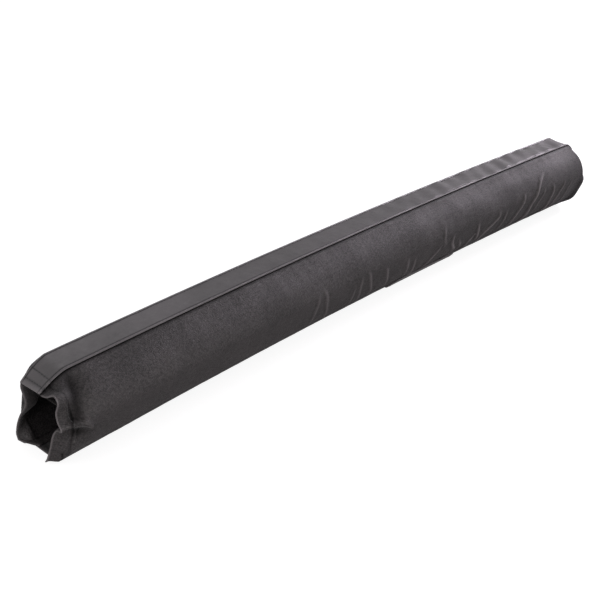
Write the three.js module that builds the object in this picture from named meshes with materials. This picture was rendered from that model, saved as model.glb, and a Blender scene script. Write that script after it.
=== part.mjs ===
// Soft pad for a roof bar: a sewn fabric sleeve with a foam core over the bar and straps that close under it.
// Millimetres, +Z up, the pad lies along X and rests on its closed straps. The front side faces -Y.
import * as THREE from "three";

// Driving sizes of the whole pad
const padLength = 760;
const padHeight = 75.9;
const sidewaysBow = 7.9;
const seatGap = 0.3;

// Driving sizes of the top strip
const stripWidth = 24.4;
const stripThickness = 1.2;
const seamAllowance = 3.7;

// Driving sizes of the side panels: half widths and heights of the body section, from the top seam down
const panelThickness = 1.2;
const shoulderHalfWidth = 29.1;
const shoulderHeight = 64.7;
const crownHalfWidth = 37.7;
const crownHeight = 49.9;
const flankHalfWidth = 35;
const flankHeight = 35;
const skirtHalfWidth = 30.2;
const skirtHeight = 20.9;
const tuckHalfWidth = 22.8;
const tuckHeight = 10.2;
const heelHalfWidth = 15.5;
const lipHalfWidth = 8;

// The rear panel leans in a little at its shoulder and crown
const rearShoulderLean = 2.1;
const rearShoulderDrop = 2.6;
const rearCrownLean = 1.2;
const rearCrownDrop = 1.8;

// Driving sizes of the open mouths, where the sleeve runs on past the foam
const leftMouthLength = 24;
const rightMouthLength = 20;
const heelMouthLength = 15.6;
const hemWidth = 9.5;
const hemThickness = 1.9;
const leftDroopFront = 10.1;
const leftDroopRear = 14;
const rightDroopFront = 13.5;
const rightDroopRear = 14.5;
const frontHemSetBack = 0.3;
const stripHemSkew = 2.2;
const droopPower = 1.6;
const rearSlackLength = 33;
const rearSlackLead = 1.9;
const creaseDepth = 4.5;
const creaseInset = 12;
const creaseReach = 3.2;
const creaseHeight = 59;
const pocketDepth = 4;
const pocketInset = 20;
const pocketHeight = 38;
const pocketReach = 5.5;

// Driving sizes of the foam core and the liner that the bar passes under
const foamEndInset = 33;
const tunnelHeight = 30;
const linerThickness = 1;
const linerOverhang = 2;
const linerEdgeGap = 0.85;
const foamGap = 0.6;

// Driving sizes of the closing straps with their hook and loop tapes
const strapCount = 4;
const strapPitchShare = 0.264;
const strapRowShift = -9.3;
const strapWidth = 110;
const strapThickness = 1.2;
const strapCornerRadius = 12;
const strapSeamInset = 2.5;
const slackStrap = 3;
const tapeThickness = 0.8;
const tapeSideMargin = 4;

// Where the straps and tapes start and end along the body section: 0 is the top seam and 1 the heel
const strapSewnEnd = 0.84;
const strapFreeEnd = 0.66;
const tapeLowEnd = 0.85;
const tapeHighEnd = 0.69;
const heelTurn = 1;

// Fineness of the surfaces
const sectionSteps = 14;
const mouthSteps = 9;
const bodyStations = [0, 0.2, 0.4, 0.6, 0.8, 0.92, 0.97, 1];
const coreStations = [-1, -0.8, -0.6, -0.4, -0.2, 0, 0.2, 0.4, 0.6, 0.8, 1];

// Sizes worked out from the ones above
const halfLength = padLength / 2;
const seamHalfWidth = stripWidth / 2;
const seamHeight = padHeight - stripThickness - seatGap;
const lipHeight = strapThickness + seatGap;
const foamHalfLength = halfLength - foamEndInset;
const foamClearance = panelThickness + foamGap;
const foamBottom = tunnelHeight + linerThickness + seatGap;
const foamTop = seamHeight - foamClearance;
const strapPitch = strapPitchShare * padLength;

// Open mouth outlines: half width, height and set-back of the hem from the pad's end. The last point is the lip.
const frontMouthLeft = [
  [seamHalfWidth, seamHeight - leftDroopFront, frontHemSetBack],
  [17.5, 65.3, 0.3],
  [25.8, 70.3, 1],
  [29.2, 66, 1.8],
  [26.2, 54.5, 2.9],
  [27, 42.5, 4.5],
  [18.7, 28.5, 6],
  [13.7, 14.7, 7.8],
  [10.5, 3.6, 9],
  [8.2, 0.8, 9],
];
const frontMouthRight = [
  [seamHalfWidth, seamHeight - rightDroopFront, frontHemSetBack],
  [19.5, 56.8, 1.2],
  [26.4, 47.8, 3],
  [34.4, 37.6, 4],
  [32.4, 22.8, 6],
  [28, 11.6, 8],
  [19.5, 4.6, 9],
  [12, lipHeight, 9],
];
const rearMouth = [
  [seamHalfWidth, seamHeight - leftDroopRear, frontHemSetBack + stripHemSkew],
  [11.4, 57, 2],
  [9.2, 44, 4],
  [17, 29, 5],
  [23.2, 15.6, 7],
  [25.8, 6.4, 8.4],
  [24, 1.6, 8.6],
  [18.4, 1, 10],
];

const blackWeave = { color: 0x2b2a2d, roughness: 0.85, metalness: 0 };
const coatedCloth = { color: 0x3a393b, roughness: 0.55, metalness: 0 };
const greyFoam = { color: 0x3c3c3e, roughness: 0.95, metalness: 0 };
const linerCloth = { color: 0x222224, roughness: 0.8, metalness: 0 };
const strapCloth = { color: 0x252427, roughness: 0.8, metalness: 0 };
const tapeNylon = { color: 0x1b1b1d, roughness: 0.9, metalness: 0 };

// The sleeve lies in a slight sideways curve: a parabola that is highest at the middle of the length.
function bowAt(x) {
  return sidewaysBow * (1 - (x / halfLength) ** 2);
}

function bowed(x, y, z) {
  return new THREE.Vector3(x, y + bowAt(x), z);
}

// An S-shaped step from 0 to 1.
function ease(u) {
  return THREE.MathUtils.smoothstep(u, 0, 1);
}

function bell(distance, reach) {
  return Math.exp(-((distance / reach) ** 2));
}

// A closed solid between two equal grids of points: the faces of both grids and a rim of quads round them.
function solidBetween(upper, lower) {
  const columns = upper.length;
  const rows = upper[0].length;
  const positions = [...upper.flat(), ...lower.flat()].flatMap((p) => [p.x, p.y, p.z]);
  const top = (i, j) => i * rows + j;
  const bottom = (i, j) => columns * rows + i * rows + j;
  const faces = [];
  const quad = (a, b, c, d) => faces.push(a, b, c, a, c, d);
  for (let i = 0; i + 1 < columns; i++) {
    for (let j = 0; j + 1 < rows; j++) {
      quad(top(i, j), top(i + 1, j), top(i + 1, j + 1), top(i, j + 1));
      quad(bottom(i, j), bottom(i, j + 1), bottom(i + 1, j + 1), bottom(i + 1, j));
    }
    quad(top(i, 0), bottom(i, 0), bottom(i + 1, 0), top(i + 1, 0));
    quad(top(i, rows - 1), top(i + 1, rows - 1), bottom(i + 1, rows - 1), bottom(i, rows - 1));
  }
  for (let j = 0; j + 1 < rows; j++) {
    quad(top(0, j), top(0, j + 1), bottom(0, j + 1), bottom(0, j));
    const last = columns - 1;
    quad(top(last, j), bottom(last, j), bottom(last, j + 1), top(last, j + 1));
  }
  const geometry = new THREE.BufferGeometry();
  geometry.setAttribute("position", new THREE.Float32BufferAttribute(positions, 3));
  geometry.setIndex(signedVolume(positions, faces) < 0 ? faces.reverse() : faces);
  geometry.computeVertexNormals();
  return geometry;
}

function signedVolume(positions, faces) {
  const corner = (k) => new THREE.Vector3().fromArray(positions, 3 * faces[k]);
  let sum = 0;
  for (let k = 0; k < faces.length; k += 3) {
    sum += corner(k).dot(corner(k + 1).cross(corner(k + 2)));
  }
  return sum / 6;
}

// A sheet of cloth: the grid is its outer face, and the inner face lies a thickness behind it along the normals.
function sheetSolid(outer, thicknessAt, inwards) {
  const inner = outer.map((column, i) =>
    column.map((point, j) => {
      const before = outer[Math.max(i - 1, 0)][j];
      const after = outer[Math.min(i + 1, outer.length - 1)][j];
      const above = column[Math.max(j - 1, 0)];
      const below = column[Math.min(j + 1, column.length - 1)];
      const along = after.clone().sub(before);
      const across = below.clone().sub(above);
      const normal = along.cross(across).normalize();
      return point.clone().addScaledVector(normal, inwards * thicknessAt(i));
    }),
  );
  return solidBetween(outer, inner);
}

function mesh(name, geometry, finish) {
  const piece = new THREE.Mesh(geometry, new THREE.MeshStandardMaterial(finish));
  piece.name = name;
  return piece;
}

// One side of the body section, from the top seam over the crown to the heel, as half width and height.
function sectionCurve(shoulder, crown) {
  return new THREE.SplineCurve([
    new THREE.Vector2(seamHalfWidth, seamHeight),
    shoulder,
    crown,
    new THREE.Vector2(flankHalfWidth, flankHeight),
    new THREE.Vector2(skirtHalfWidth, skirtHeight),
    new THREE.Vector2(tuckHalfWidth, tuckHeight),
    new THREE.Vector2(heelHalfWidth, lipHeight),
  ]);
}

const frontSection = sectionCurve(
  new THREE.Vector2(shoulderHalfWidth, shoulderHeight),
  new THREE.Vector2(crownHalfWidth, crownHeight),
);
const rearSection = sectionCurve(
  new THREE.Vector2(shoulderHalfWidth - rearShoulderLean, shoulderHeight - rearShoulderDrop),
  new THREE.Vector2(crownHalfWidth - rearCrownLean, crownHeight - rearCrownDrop),
);

// A point of a body section moved outwards from the cloth by an offset.
function sectionPoint(section, t, offset) {
  const point = section.getPoint(t);
  const tangent = section.getTangent(t);
  return point.add(new THREE.Vector2(-tangent.y, tangent.x).multiplyScalar(offset));
}

// Half width inside a side panel at a height, on the stretch from the crown down.
function insideHalfWidthAt(section, height, clearance) {
  const steps = 60;
  for (let k = steps / 3; k < steps; k++) {
    const high = sectionPoint(section, k / steps, -clearance);
    const low = sectionPoint(section, (k + 1) / steps, -clearance);
    if (low.y <= height && height <= high.y) {
      const share = (high.y - height) / (high.y - low.y);
      return THREE.MathUtils.lerp(high.x, low.x, share);
    }
  }
  return lipHalfWidth;
}

// Stations along the length: -1 to 1 over the body, and 1 to 2 in either direction over a mouth.
function lengthStations() {
  const oneSide = [...bodyStations.slice(1)];
  for (let k = 1; k <= mouthSteps; k++) {
    oneSide.push(1 + k / mouthSteps);
  }
  return [...oneSide.map((s) => -s).reverse(), 0, ...oneSide];
}

// Distance from the middle at a station, where the mouth starts so far out and the hem is set back so much.
function stationDistance(station, mouthStart, setBack) {
  const body = Math.min(Math.abs(station), 1);
  const mouth = Math.max(Math.abs(station) - 1, 0);
  return body * mouthStart + mouth * (halfLength - setBack - mouthStart);
}

// How far the body's form has turned into the mouth's, sooner with a larger lead.
function mouthShare(station, lead = 1) {
  return ease(lead * (Math.abs(station) - 1));
}

function mouthLengthAt(station) {
  return station < 0 ? leftMouthLength : rightMouthLength;
}

// How far the strip droops at a hem, from -1 at its front edge to 1 at its rear edge.
function droopAt(station, across) {
  const front = station < 0 ? leftDroopFront : rightDroopFront;
  const rear = station < 0 ? leftDroopRear : rightDroopRear;
  return THREE.MathUtils.lerp(front, rear, (across + 1) / 2);
}

// How much of that droop the strip has at a station: least where the mouth starts, and steepest at the hem.
function droopShare(station) {
  return Math.max(Math.abs(station) - 1, 0) ** droopPower;
}

// How far the strip's hem is set back from the pad's end, from -1 at its front edge to 1 at its rear edge.
function stripSetBackAt(across) {
  return frontHemSetBack + (stripHemSkew * (across + 1)) / 2;
}

// Dents of the front panel's slack cloth at the left mouth: an upright crease and a pocket below it.
function dentAt(distance, z) {
  const crease = bell(distance - (halfLength - creaseInset), creaseReach) * bell(z - creaseHeight, tunnelHeight / 2);
  const pocket = bell(distance - (halfLength - pocketInset), pocketReach) * bell(z - pocketHeight, pocketReach);
  return creaseDepth * crease + pocketDepth * pocket;
}

// A side panel: the body section, blended into the mouth outline past the foam. Side is -1 in front, 1 behind.
function sidePanel(name, side, section, leftMouth, rightMouth) {
  const rows = [-1];
  for (let j = 0; j <= sectionSteps; j++) {
    rows.push(j / sectionSteps);
  }
  rows.push(2);
  const outline = (mouth) => {
    const points = mouth.map((p) => new THREE.Vector3(...p));
    return { lip: points.pop(), curve: new THREE.CatmullRomCurve3(points) };
  };
  const left = outline(leftMouth);
  const right = outline(rightMouth);
  const lip = new THREE.Vector2(lipHalfWidth, lipHeight);
  const edge = (seamHalfWidth - seamAllowance) / seamHalfWidth;
  const lengths = section.getLengths(sectionSteps);
  const outer = lengthStations().map((station) =>
    rows.map((row) => {
      const t = THREE.MathUtils.clamp(row, 0, 1);
      const mouth = station < 0 ? left : right;
      const body = row > 1 ? lip : section.getPoint(t);
      const along = lengths[Math.round(t * sectionSteps)] / lengths[sectionSteps];
      const hem = row > 1 ? mouth.lip : mouth.curve.getPointAt(along);
      const upperLength = side > 0 && row > 0 ? rearSlackLength : mouthLengthAt(station);
      const start = halfLength - THREE.MathUtils.lerp(upperLength, heelMouthLength, side > 0 ? ease(t) : t);
      const across = side * (row < 0 ? edge : 1);
      const distance = stationDistance(station, start, row <= 0 ? stripSetBackAt(across) : hem.z);
      const share = mouthShare(station);
      const slack = side > 0 ? mouthShare(station, THREE.MathUtils.lerp(rearSlackLead, 1, ease(2 * t))) : share;
      let halfWidth = THREE.MathUtils.lerp(body.x, hem.x, slack);
      let height = THREE.MathUtils.lerp(body.y, hem.y, slack);
      if (row <= 0) height = seamHeight - droopShare(station) * droopAt(station, across);
      if (row < 0) halfWidth -= seamAllowance;
      if (side < 0 && station < 0 && row > 0 && row < 1) halfWidth -= dentAt(distance, height);
      return bowed(Math.sign(station) * distance, side * halfWidth, height);
    }),
  );
  const stations = lengthStations();
  const hemStation = 2 - hemWidth / leftMouthLength;
  const thicknessAt = (i) => (Math.abs(stations[i]) > hemStation ? hemThickness : panelThickness);
  return mesh(name, sheetSolid(outer, thicknessAt, -side), blackWeave);
}

// The coated strip along the top, lying on the seam allowances of both panels and drooping at the mouths.
function topStrip() {
  const rows = [-1, -0.8, 0, 0.8, 1];
  const surface = (drop) =>
    lengthStations().map((station) =>
      rows.map((row) => {
        const distance = stationDistance(station, halfLength - mouthLengthAt(station), stripSetBackAt(row));
        const height = padHeight - drop - droopAt(station, row) * droopShare(station);
        return bowed(Math.sign(station) * distance, row * seamHalfWidth, height);
      }),
    );
  return mesh("top_strip", solidBetween(surface(0), surface(stripThickness)), coatedCloth);
}

// The foam block: it fills the body section above the liner and ends before the mouths.
function foamCore() {
  const bottomAt = (section) => insideHalfWidthAt(section, foamBottom, foamClearance);
  const outline = (section) => {
    const points = [];
    for (let j = 0; j <= sectionSteps; j++) {
      const point = sectionPoint(section, j / sectionSteps, -foamClearance);
      if (point.y > foamBottom + linerThickness) points.push([point.x, Math.min(point.y, foamTop)]);
    }
    points.push([bottomAt(section), foamBottom + linerThickness / 2]);
    return points;
  };
  const crossing = [...outline(frontSection).map(([y, z]) => [-y, z]).reverse(), ...outline(rearSection)];
  const stations = coreStations.map((s) => s * foamHalfLength);
  const upper = stations.map((x) => crossing.map(([y, z]) => bowed(x, y, z)));
  const bottomHalfWidth = (j) => THREE.MathUtils.lerp(-bottomAt(frontSection), bottomAt(rearSection), j);
  const lower = stations.map((x) =>
    crossing.map((p, j) => bowed(x, bottomHalfWidth(j / (crossing.length - 1)), foamBottom)),
  );
  return mesh("foam_core", solidBetween(upper, lower), greyFoam);
}

// The cloth under the foam, which the bar runs along.
function tunnelLiner() {
  const clearance = panelThickness + linerEdgeGap;
  const front = -insideHalfWidthAt(frontSection, tunnelHeight, clearance);
  const rear = insideHalfWidthAt(rearSection, tunnelHeight, clearance);
  const stations = coreStations.map((s) => s * (foamHalfLength + linerOverhang));
  const level = (z) => stations.map((x) => [front, 0, rear].map((y) => bowed(x, y, z)));
  const geometry = solidBetween(level(tunnelHeight + linerThickness), level(tunnelHeight));
  return mesh("tunnel_liner", geometry, linerCloth);
}

// A band that follows a path across the pad: a list of [y, z] for its inner face, one thickness behind its outer.
function crossBand(path, middle, halfWidthAt, thickness) {
  const shares = [-1, -0.5, 0, 0.5, 1];
  const outward = path.map((point, j) => {
    const before = path[Math.max(j - 1, 0)];
    const after = path[Math.min(j + 1, path.length - 1)];
    return new THREE.Vector2(before[1] - after[1], after[0] - before[0]).normalize().multiplyScalar(-thickness);
  });
  const face = (moved) =>
    shares.map((share) =>
      path.map(([y, z], j) => {
        const x = middle + share * halfWidthAt(j);
        return bowed(x, y + moved * outward[j].x, z + moved * outward[j].y);
      }),
    );
  return solidBetween(face(0), face(1));
}

// Path of a strap's inner face: flat under the bar from the front panel's lip, where it is sewn, and up the rear
// flank. The slack strap has slipped out in front and shows on the heel.
function strapPath(isSlack) {
  const frontSteps = 4;
  const rearSteps = 8;
  const rearOffset = 3 * seatGap + 2 * tapeThickness;
  const path = [];
  for (let k = 0; isSlack && k <= frontSteps; k++) {
    const t = THREE.MathUtils.lerp(strapSewnEnd, heelTurn, k / frontSteps);
    const point = sectionPoint(frontSection, t, seatGap);
    path.push([-point.x, point.y]);
  }
  const frontShare = isSlack ? 0.92 : 1 - strapSeamInset / heelHalfWidth;
  for (const share of [-frontShare, -frontShare + 0.08, 0.84, 0.92]) {
    path.push([share * heelHalfWidth, strapThickness]);
  }
  for (let k = 0; k <= rearSteps; k++) {
    const t = THREE.MathUtils.lerp(heelTurn, strapFreeEnd, k / rearSteps);
    const offset = THREE.MathUtils.lerp(seatGap, rearOffset, Math.min(1, (3 * k) / rearSteps));
    const point = sectionPoint(rearSection, t, offset);
    path.push([point.x, point.y]);
  }
  return path;
}

// A strap is narrower at its sewn end and at its free end, where its corners are round.
function closureStrap(name, middle, isSlack) {
  const path = strapPath(isSlack);
  const travelled = [0];
  for (let j = 1; j < path.length; j++) {
    travelled.push(travelled[j - 1] + Math.hypot(path[j][0] - path[j - 1][0], path[j][1] - path[j - 1][1]));
  }
  const total = travelled[path.length - 1];
  const halfWidthAt = (j) => {
    const toEnd = Math.min(travelled[j], total - travelled[j]);
    const short = Math.max(strapCornerRadius - toEnd, 0);
    return strapWidth / 2 - strapCornerRadius + Math.sqrt(strapCornerRadius ** 2 - short ** 2);
  };
  return mesh(name, crossBand(path, middle, halfWidthAt, strapThickness), strapCloth);
}

// A tape on the rear flank, at an offset from the cloth of the panel.
function rearTape(name, middle, offset) {
  const steps = 5;
  const path = [];
  for (let k = 0; k <= steps; k++) {
    const point = sectionPoint(rearSection, THREE.MathUtils.lerp(tapeLowEnd, tapeHighEnd, k / steps), offset);
    path.push([point.x, point.y]);
  }
  const halfWidthAt = () => strapWidth / 2 - tapeSideMargin;
  return mesh(name, crossBand(path, middle, halfWidthAt, tapeThickness), tapeNylon);
}

function straps() {
  const group = new THREE.Group();
  for (let n = 1; n <= strapCount; n++) {
    const middle = strapRowShift + (n - (strapCount + 1) / 2) * strapPitch;
    group.add(closureStrap(`closure_strap_${n}`, middle, n === slackStrap));
    group.add(rearTape(`hook_tape_${n}`, middle, 2 * seatGap + tapeThickness));
    group.add(rearTape(`loop_tape_${n}`, middle, seatGap));
  }
  return group;
}

const pad = new THREE.Group();
pad.add(topStrip());
pad.add(sidePanel("front_side_panel", -1, frontSection, frontMouthLeft, frontMouthRight));
pad.add(sidePanel("rear_side_panel", 1, rearSection, rearMouth, rearMouth));
pad.add(foamCore());
pad.add(tunnelLiner());
pad.add(straps());

// The origin is under the middle of the pad's box.
const box = new THREE.Box3().setFromObject(pad);
pad.position.set(-(box.min.x + box.max.x) / 2, -(box.min.y + box.max.y) / 2, -box.min.z);

export default pad;
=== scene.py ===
"""Looks of a soft pad for a roof bar: a sewn cloth sleeve over foam, closed under the bar by four straps.

Every surface is worked out in millimetres and put into its mesh in metres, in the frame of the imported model.
The front side of the pad faces -Y, the left mouth is the one at -X.
"""

import bpy
import numpy as np
from mathutils import Euler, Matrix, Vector


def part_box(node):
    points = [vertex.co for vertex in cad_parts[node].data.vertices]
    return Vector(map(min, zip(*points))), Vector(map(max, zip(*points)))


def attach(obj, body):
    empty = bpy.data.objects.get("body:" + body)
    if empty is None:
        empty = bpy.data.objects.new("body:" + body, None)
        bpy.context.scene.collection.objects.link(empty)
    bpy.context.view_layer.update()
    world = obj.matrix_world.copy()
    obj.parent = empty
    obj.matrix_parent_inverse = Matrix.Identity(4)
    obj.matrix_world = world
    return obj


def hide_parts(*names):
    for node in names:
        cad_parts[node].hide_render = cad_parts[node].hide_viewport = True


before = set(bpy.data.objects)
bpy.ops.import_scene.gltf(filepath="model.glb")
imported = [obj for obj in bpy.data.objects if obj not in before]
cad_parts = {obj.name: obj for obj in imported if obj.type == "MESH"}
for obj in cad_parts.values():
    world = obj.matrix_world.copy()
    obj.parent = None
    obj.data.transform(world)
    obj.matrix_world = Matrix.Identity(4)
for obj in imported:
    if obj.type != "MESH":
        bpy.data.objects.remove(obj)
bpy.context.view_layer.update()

METRES = 0.001

# Sizes of the sleeve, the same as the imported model's
HALF_LENGTH = 380.0
BOW = 7.9
BOW_SHIFT = -3.807
SEAM_WIDTH = 12.2
SEAM_HEIGHT = 74.4
HEEL = 15.5
STRIP_TOP = 75.9
STRIP_THICKNESS = 1.2
ALLOWANCE = 3.7
CLOTH = 1.2
HEM_CLOTH = 1.9
HEM_LENGTH = 9.5
HEEL_MOUTH = 15.6
REAR_SLACK = 33.0
REAR_LEAD = 1.9
SET_BACK = 0.3
HEM_SKEW = 2.2
DROOP_POWER = 1.6
LEFT, RIGHT = -1, 1
FRONT, REAR = -1, 1
MOUTH_LENGTH = {LEFT: 24.0, RIGHT: 20.0}
DROOP = {(LEFT, FRONT): 10.1, (LEFT, REAR): 14.0, (RIGHT, FRONT): 13.5, (RIGHT, REAR): 14.5}

# Body section from the top seam to the heel: half width and height. The lower half is alike on both sides
LOWER_SECTION = [(35, 35), (30.2, 20.9), (22.8, 10.2), (HEEL, 1.5)]
SECTION = {
    FRONT: [(SEAM_WIDTH, SEAM_HEIGHT), (29.1, 64.7), (37.7, 49.9), *LOWER_SECTION],
    REAR: [(SEAM_WIDTH, SEAM_HEIGHT), (27, 62.1), (36.5, 48.1), *LOWER_SECTION],
}
LIP = (8.0, 1.5)

# Mouth outlines from the top seam to the heel: half width, height, set-back; then the lip
REAR_MOUTH = (
    [(SEAM_WIDTH, 60.4, 2.5), (11.4, 57, 2), (9.2, 44, 4), (17, 29, 5), (23.2, 15.6, 7), (25.8, 6.4, 8.4),
     (24, 1.6, 8.6)],
    (18.4, 1, 10),
)
MOUTH = {
    (FRONT, LEFT): (
        [(SEAM_WIDTH, 64.3, 0.3), (17.5, 65.3, 0.3), (25.8, 70.3, 1), (29.2, 66, 1.8), (26.2, 54.5, 2.9),
         (27, 42.5, 4.5), (18.7, 28.5, 6), (13.9, 14.7, 7.5), (10.6, 2.6, 7.4)],
        (9.4, 1.6, 7.2),
    ),
    (FRONT, RIGHT): (
        [(SEAM_WIDTH, 60.9, 0.3), (19.5, 56.8, 1.2), (26.4, 47.8, 3), (34.4, 37.6, 4), (32.4, 22.8, 6),
         (28, 11.6, 8), (19.5, 4.6, 9)],
        (12, 1.5, 9),
    ),
    (REAR, LEFT): REAR_MOUTH,
    (REAR, RIGHT): REAR_MOUTH,
}

# The foam and the liner under it
FOAM_HALF_LENGTH = 347.0
FOAM_GAP = 1.8
FOAM_BOTTOM = 31.3
FOAM_TOP = 72.6
FOAM_MIDDLE = 52.0
FOAM_CORNER = 5.0
LINER_HEIGHT = 30.0
LINER_CLOTH = 1.0
LINER_WAVE, LINER_THINNED = 0.12, 0.15

# The straps and their tapes
STRAP_MIDDLES = (-310.26, -109.62, 91.02, 291.66)
SLACK_STRAP = 3
STRAP_WIDTH = 110.0
STRAP_CLOTH = 1.2
STRAP_CORNER = 12.0
STRAP_SEAM_INSET = 2.5
STRAP_SEWN, STRAP_FREE = 0.84, 0.66
TAPE_LOW, TAPE_HIGH = 0.85, 0.69
TAPE_CLOTH = 0.8
TAPE_MARGIN = 4.0
PILE_HEIGHT, PILE_TURN = 0.06, 2.4
GAP = 0.3

# The sewing: pitch and length of the stitches, and where the rows lie
SEAM_STITCHES = (3.6, 2.7)
HEM_STITCHES = (3.2, 2.3)
THREAD_RADIUS = 0.26
THREAD_SINK = 0.05
STITCH_TO_HEM = 8.2
LOWER_STITCH = 0.81
LOWER_STITCH_HALF = 356
STRIP_STITCH_ACROSS = 10.2
STRIP_HEM_ROWS = (3.0, 9.3)
STRAP_STITCH_INSET = 4.5

# Steps of the grids
BODY_STEPS, MOUTH_STEPS, SECTION_STEPS = 560, 26, 60
RIM_STEPS = 4
FOAM_STEPS, FOAM_CORNER_STEPS = 60, 6
BAND_COLUMNS, STRAP_ROWS, TAPE_ROWS = 76, 64, 20


# Shapes of one and two parameters

def ease(u):
    """S-shaped step from 0 to 1: three times the square less twice the cube."""
    u = np.clip(u, 0, 1)
    return u * u * (3 - 2 * u)


def bell(distance, reach):
    """Bell curve: e to the minus square of distance over reach."""
    return np.exp(-((distance / reach) ** 2))


def mix(a, b, share):
    """Straight line from a, at a share of 0, to b, at a share of 1."""
    return a + (b - a) * share


def bow(x):
    """Sideways curve of the sleeve: a parabola, highest at the middle of the length."""
    return BOW * (1 - (x / HALF_LENGTH) ** 2) + BOW_SHIFT


def span_of(t, last):
    """Number of the span that t lies in, out of equal spans from 0 to 1, and the share of it passed."""
    k = np.clip(np.asarray(t) * last, 0, last - 1e-9)
    i = k.astype(int)
    return i, (k - i)[..., None]


def cubic(p1, p2, v1, v2, w):
    """Curve of third degree from p1 to p2 as w goes from 0 to 1, with the slopes v1 and v2 at its ends."""
    return (2 * p1 - 2 * p2 + v1 + v2) * w**3 + (3 * p2 - 3 * p1 - 2 * v1 - v2) * w**2 + v1 * w + p1


def travelled(points):
    """Distance along a path at each of its points."""
    return np.concatenate([[0], np.cumsum(np.linalg.norm(np.diff(points, axis=0), axis=1))])


def section_point(side, t):
    """Uniform Catmull-Rom curve through the section's points, with both ends doubled. t runs from 0 to 1."""
    points = np.array(SECTION[side], float)
    last = len(points) - 1
    i, w = span_of(t, last)
    p0, p1 = points[np.maximum(i - 1, 0)], points[i]
    p2, p3 = points[i + 1], points[np.minimum(i + 2, last)]
    return cubic(p1, p2, (p2 - p0) / 2, (p3 - p1) / 2, w)


def offset_section(side, t, offset):
    """The section moved outwards by an offset, at right angles to its own direction."""
    step = 1e-4
    t = np.clip(np.asarray(t, float), step, 1 - step)
    along = section_point(side, t + step) - section_point(side, t - step)
    along /= np.linalg.norm(along, axis=-1, keepdims=True)
    out = np.stack([-along[..., 1], along[..., 0]], -1)
    return section_point(side, t) + out * np.asarray(offset)[..., None]


def mouth_point(points, side, t):
    """Centripetal Catmull-Rom curve through a mouth's points, with both ends carried on straight.

    A point lies as far along the mouth's curve as t lies along the body section, as shares of their lengths.
    """
    points = np.array(points, float)
    points = np.vstack([2 * points[0] - points[1], points, 2 * points[-1] - points[-2]])
    fine = np.linspace(0, 1, 600)
    lengths = travelled(catmull_rom(points, fine))
    return catmull_rom(points, np.interp(girth(side, t) / girth(side, 1), lengths / lengths[-1], fine))


def catmull_rom(points, t):
    """Centripetal Catmull-Rom curve: cubics between the points, with slopes weighed by the steps' roots."""
    i, w = span_of(t, len(points) - 3)
    p0, p1, p2, p3 = (points[i + n] for n in range(4))
    steps = ((p0, p1), (p1, p2), (p2, p3))
    d0, d1, d2 = (np.sqrt(np.linalg.norm(b - a, axis=-1, keepdims=True)) for a, b in steps)
    v1 = ((p1 - p0) / d0 - (p2 - p0) / (d0 + d1) + (p2 - p1) / d1) * d1
    v2 = ((p2 - p1) / d1 - (p3 - p1) / (d1 + d2) + (p3 - p2) / d2) * d1
    return cubic(p1, p2, v1, v2, w)


def girth(side, t):
    """Distance along the body section from the top seam, in millimetres."""
    fine = np.linspace(0, 1, 400)
    return np.interp(t, fine, travelled(section_point(side, fine)))


def droop(station, across):
    """How far the strip hangs at a station, from its front edge, -1, to its rear edge, 1.

    It grows from nothing where the mouth starts, as a power of the way to the hem.
    """
    left = mix(DROOP[LEFT, FRONT], DROOP[LEFT, REAR], (across + 1) / 2)
    right = mix(DROOP[RIGHT, FRONT], DROOP[RIGHT, REAR], (across + 1) / 2)
    return np.where(station < 0, left, right) * np.maximum(np.abs(station) - 1, 0) ** DROOP_POWER


def strip_set_back(across):
    """How far the strip's hem lies inside the full length, from its front edge, -1, to its rear edge, 1."""
    return SET_BACK + HEM_SKEW * (across + 1) / 2


def station_distance(station, start, set_back):
    """Distance from the middle: up to start over the body, and on to the hem over the mouth."""
    body = np.minimum(np.abs(station), 1)
    mouth = np.maximum(np.abs(station) - 1, 0)
    return body * start + mouth * (HALF_LENGTH - set_back - start)


def stations(body_steps, mouth_steps):
    """Stations along the length: -1 to 1 over the body, 1 to 2 in either direction over a mouth."""
    mouth = 1 + np.arange(1, mouth_steps + 1) / mouth_steps
    return np.concatenate([-mouth[::-1], np.linspace(-1, 1, body_steps + 1), mouth])


def normals(grid, side_out):
    """Unit normals of a grid of points, pointing the way of side_out on the whole."""
    along, across = np.gradient(grid, axis=0), np.gradient(grid, axis=1)
    n = np.cross(along, across)
    n /= np.maximum(np.linalg.norm(n, axis=-1, keepdims=True), 1e-9)
    return n if (n * np.asarray(side_out, float)).sum() > 0 else -n


def waves(seed, x, y, count, shortest, longest):
    """Smooth unevenness between about -1 and 1: a sum of sine waves in seeded directions and lengths."""
    draw = np.random.default_rng(seed)
    total = np.zeros(np.broadcast(x, y).shape)
    lengths = draw.uniform(shortest, longest, count)
    angles = draw.uniform(0, np.pi, count)
    phases = draw.uniform(0, 2 * np.pi, count)
    for length, angle, phase in zip(lengths, angles, phases):
        total += np.sin(2 * np.pi * (x * np.cos(angle) + y * np.sin(angle)) / length + phase)
    return total / np.sqrt(2 * count)


def fold(x, y, path, reach):
    """1 along a path of points over the cloth, falling off as a bell to its sides and beyond its ends."""
    nearest = np.full(np.broadcast(x, y).shape, np.inf)
    for (x0, y0), (x1, y1) in zip(path, path[1:]):
        dx, dy = x1 - x0, y1 - y0
        share = np.clip(((x - x0) * dx + (y - y0) * dy) / (dx * dx + dy * dy), 0, 1)
        nearest = np.minimum(nearest, np.hypot(x - x0 - share * dx, y - y0 - share * dy))
    return bell(nearest, reach)


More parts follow.
